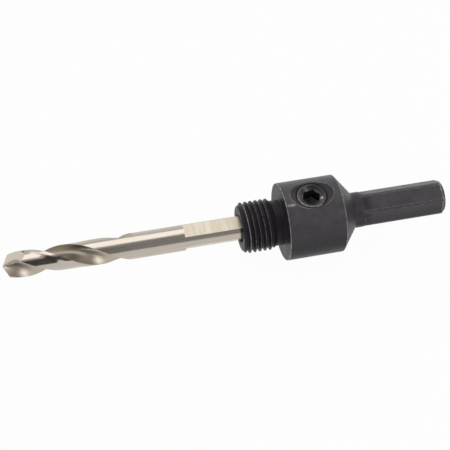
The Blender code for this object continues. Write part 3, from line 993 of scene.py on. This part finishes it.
def screw_mesh(sizes):
    """The set screw: a profile whose radius is a thread outside and a hexagon in the socket."""
    _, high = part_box("set_screw")
    top = high.z - axis_height
    base = top - sizes.screw_length
    mouth = sizes.mouth_radius
    slope = 1 / tan(sizes.mouth_angle / 2)
    corner_radius = sizes.across_flats / 2 / cos(pi / 6)
    turns = full_turn(192)

    # Socket, from its floor up the walls and the conical mouth; the hexagon's corners are rounded
    hexagon, _ = hexagon_radius(turns, sizes.across_flats, sizes.socket_turn)
    hexagon = soft_min(hexagon, corner_radius * 0.985, 0.00003)
    floor = top - sizes.socket_depth
    wall_top = top - (mouth - hexagon) * slope
    shares = np.array([0.2, 0.5, 0.8, 1.0])[:, None]
    steps = np.linspace(0, 1, 8)[1:, None]
    socket = [(hexagon * shares, floor - (1 - shares) * 0.0008),
              (hexagon, floor + (wall_top - floor) * steps),
              (hexagon + (mouth - hexagon) * steps, top - (mouth - hexagon) * (1 - steps) * slope)]

    # Outside, with its thread
    outline = divided(rounded([
        (top, mouth, 0),
        (top, sizes.top_radius, 0.00006),
        (top - (sizes.radius - sizes.top_radius), sizes.radius, 0.00005),
        (base + screw_chamfer, sizes.radius, 0.00005),
        (base, sizes.radius - screw_chamfer, 0.00008),
        (base, screw_cup_radius, 0.00008),
        (base + screw_cup_depth, 0, 0),
    ]), lambda station: sizes.pitch / 20)
    height, radius = outline[1:-1, :1], outline[1:-1, 1:]
    turned = height - base - sizes.pitch * turns / (2 * pi)
    grooved = sizes.radius - groove_depth(turned, sizes.pitch)
    on_thread = (radius > sizes.radius * 0.6) & (height < top - 0.0002)
    threaded = np.where(on_thread, soft_min(radius, grooved, 0.00003), radius)
    rho, level = np.concatenate(
        [np.broadcast_arrays(*part) for part in (*socket, (threaded, height))], axis=1)
    rings = about_hole(level, rho * np.sin(turns), -rho * np.cos(turns))

    # Wear on the top's rim, more on the lower left, and a painted highlight on the socket's mouth;
    # painted shade in the socket and on the upper right
    lean = np.cos(turns - radians(50))
    lower_left, upper_right = np.clip(lean, 0, 1), np.clip(-lean, 0, 1)
    off_rim = np.hypot(rho - sizes.top_radius, level - top)
    off_painted_glint = np.hypot(rho - 0.0025, 0.0025 * (turns - radians(158)))
    wear = np.maximum(near(off_rim, 0.00013) * (0.45 + 0.55 * lower_left),
                      1.5 * near(off_painted_glint, 0.00042) * (level > top - 0.0009))
    # Painted shade down in the socket and on the upper right side, where shade falls
    socket_shade = smooth_step((corner_radius - rho) / 0.0002) * smooth_step((top - level - 0.0006) / 0.0008)
    shade_amount = np.maximum(socket_shade, 0.8 * upper_right * (rho > 0.8 * mouth))
    poles = about_hole(np.array([floor - 0.0008, base + screw_cup_depth]), 0, 0)
    return closed_mesh("socket_screw", rings, *poles, {
        "wear_and_glint": np.append(wear, [0, 0]), "painted_shade": np.append(shade_amount, [1, 1])})


# Stage

def add_sweep(finish):
    """Floor: a level disc of paper whose rim curves up into a low wall."""
    bend = np.linspace(0, pi / 2, 17)
    radii = np.concatenate([[0.02, 0.2, 0.6], 1.0 + 0.3 * np.sin(bend), [1.3]])
    heights = np.concatenate([[0, 0, 0], 0.3 * (1 - np.cos(bend)), [0.34]])
    rows, columns = len(radii), 96
    points = around(radii[:, None], full_turn(columns), heights[:, None]).reshape(-1, 3)
    faces = ring_quads(rows, columns).reshape(-1, 4).tolist()
    faces += fan(np.arange(columns)[::-1], rows * columns).tolist()
    mesh = bpy.data.meshes.new("white_sweep")
    mesh.from_pydata(np.concatenate([points, [[0, 0, 0]]]).tolist(), [], faces)
    mesh.shade_smooth()
    mesh.materials.append(white_paper(finish.paper))
    sweep = add_object("white_sweep", mesh)


def add_room(settings):
    """Room: darker on the camera's side, so that polished metal has something dark to show."""
    world = bpy.data.worlds.new("grey_room")
    world.use_nodes = True
    tree = world.node_tree
    place = add_node(tree, "TexCoord", output="Generated")
    split = add_node(tree, "SeparateXYZ", {"Vector": place}).node.outputs
    sideways = add_node(tree, "Math", {0: split["X"], 1: -0.55}, operation="MULTIPLY")
    slant = add_node(tree, "Math", {0: split["Y"], 1: 0.85, 2: sideways},
                     operation="MULTIPLY_ADD")
    level = remap(tree, slant, -0.3, 0.15, settings.room_level, settings.back_level,
                  interpolation_type="SMOOTHSTEP")
    wire(tree, tree.nodes["Background"], {"Strength": level, "Color": (1, 1, 1, 1)})
    bpy.context.scene.world = world


def add_dark_card():
    """Dark card beside the camera, which gives the round of the drill its dark streak."""
    middle = np.array([-0.077, -0.188, 0.176])
    half_width = np.array([0.056, 0, 0])
    half_height = 0.14 * np.array([0, 0.707, 0.707])
    corners = [middle + a * half_width + b * half_height
               for a, b in ((-1, -1), (1, -1), (1, 1), (-1, 1))]
    mesh = bpy.data.meshes.new("dark_card")
    mesh.from_pydata(np.array(corners).tolist(), [], [(0, 1, 2, 3)])
    material, tree, shader = new_material("dark_grey_card")
    wire(tree, shader, {"Base Color": (0.1, 0.1, 0.1, 1), "Roughness": 0.9})
    mesh.materials.append(material)
    card = add_object("dark_card", mesh)
    card.visible_camera = False


def add_soft_box(name, place, width, height, level):
    """Soft box that looks at the arbor. Its power gives the radiance: power = pi area radiance."""
    lamp = bpy.data.lights.new(name, "AREA")
    lamp.shape = "RECTANGLE"
    lamp.size = width
    lamp.size_y = height
    lamp.energy = pi * width * height * level
    box = add_object(name, lamp)
    box.location = place
    box.rotation_euler = Vector(place).to_track_quat("Z", "Y").to_euler()


def add_camera(settings):
    """Camera, fitted to the photograph's outline."""
    data = bpy.data.cameras.new("camera")
    data.sensor_width = 36
    data.lens = settings.focal_length
    data.clip_start = 0.01
    camera = add_object("camera", data)
    camera.location = settings.camera_place
    camera.rotation_euler = Euler(settings.camera_turn)
    bpy.context.scene.camera = camera


# Operators

class ARBOR_OT_body(bpy.types.Operator):
    """Build the turned, threaded and milled body"""
    bl_idname = "arbor.body"
    bl_label = "Turned body"

    def execute(self, context):
        sizes = context.scene.arbor_body
        finish = context.scene.arbor_finishes
        mesh = open_into_bore(turned_body_mesh(sizes), sizes)
        mesh.materials.append(black_oxide(
            "black_oxide_turned_steel", finish.oxide, finish.oxide_light, finish.bare, 0.4, 0.46))
        add_piece("turned_body", mesh, "arbor_body", "arbor_body")
        return {"FINISHED"}


class ARBOR_OT_drill(bpy.types.Operator):
    """Build the fluted pilot drill"""
    bl_idname = "arbor.drill"
    bl_label = "Pilot drill"

    def execute(self, context):
        sizes = context.scene.arbor_drill
        finish = context.scene.arbor_finishes
        mesh = drill_mesh(sizes)
        bright, dark = finish.high_speed, finish.high_speed_dark
        # Real grinding marks are some 0.02 mm wide and milling marks 0.3 mm. To show, they are drawn
        # 0.12 to 0.2 mm and 0.9 mm wide.
        for material in (
                ground_steel("high_speed_steel_round_ground", bright, dark, 0.17, "Object",
                             (0.012, 0.00014, 0.00014), 0.000004),
                ground_steel("high_speed_steel_flute_ground", finish.milled_dark, dark, 0.35, "UV",
                             (0.0002, 0.004, 1), 0.000004),
                ground_steel("high_speed_steel_point_ground", finish.point, bright, 0.3, "Object",
                             (0.00012, 0.00012, 0.0006), 0.000004),
                ground_steel("high_speed_steel_milled", finish.milled, finish.milled_dark, 0.34,
                             "Object", (0.0009, 0.008, 0.008), 0.000006)):
            mesh.materials.append(material)
        mesh = cut_away(mesh, nick_ball(sizes))
        add_piece("fluted_drill", mesh, "pilot_drill", "pilot_drill")
        return {"FINISHED"}


class ARBOR_OT_screw(bpy.types.Operator):
    """Build the socket set screw"""
    bl_idname = "arbor.screw"
    bl_label = "Set screw"

    def execute(self, context):
        finish = context.scene.arbor_finishes
        mesh = screw_mesh(context.scene.arbor_screw)
        mesh.materials.append(black_oxide(
            "black_oxide_screw", finish.screw, finish.oxide, finish.bare, 0.28, 0.7))
        add_piece("socket_screw", mesh, "set_screw", "set_screw")
        return {"FINISHED"}


class ARBOR_OT_stage(bpy.types.Operator):
    """Build the white sweep, the room light, the dark card, the soft boxes and the camera"""
    bl_idname = "arbor.stage"
    bl_label = "Stage"

    def execute(self, context):
        settings = context.scene.arbor_stage
        add_sweep(context.scene.arbor_finishes)
        add_room(settings)
        add_dark_card()
        add_soft_box("top_soft_box", (-0.01, 0.265, 0.637), 0.32, 0.60, settings.box_level)
        add_soft_box("front_soft_box", (0.45, -0.36, 0.42), 0.32, 0.44, settings.front_level)
        add_camera(settings)
        context.scene.view_settings.view_transform = "Standard"
        return {"FINISHED"}


OPERATORS = (ARBOR_OT_body, ARBOR_OT_drill, ARBOR_OT_screw, ARBOR_OT_stage)


class ARBOR_PT_panel(bpy.types.Panel):
    """Lists the arbor's pieces and their sizes"""
    bl_label = "Hole saw arbor"
    bl_idname = "ARBOR_PT_panel"
    bl_space_type = "VIEW_3D"
    bl_region_type = "UI"
    bl_category = "Arbor"

    def draw(self, context):
        for operator in OPERATORS:
            self.layout.operator(operator.bl_idname)
        for key in GROUPS:
            group = getattr(context.scene, key)
            column = self.layout.column(align=True)
            for name in group.__annotations__:
                column.prop(group, name)


def register():
    """Register the classes and hang the settings on the scene."""
    for item in (*GROUPS.values(), *OPERATORS, ARBOR_PT_panel):
        bpy.utils.register_class(item)
    for key, group in GROUPS.items():
        setattr(bpy.types.Scene, key, bpy.props.PointerProperty(type=group))


def unregister():
    """Take the settings and classes away again."""
    for key in GROUPS:
        delattr(bpy.types.Scene, key)
    for item in reversed((*GROUPS.values(), *OPERATORS, ARBOR_PT_panel)):
        bpy.utils.unregister_class(item)


def main():
    """Build everything."""
    register()
    bpy.ops.arbor.stage()
    bpy.ops.arbor.body()
    bpy.ops.arbor.drill()
    bpy.ops.arbor.screw()


if __name__ == "__main__":
    main()
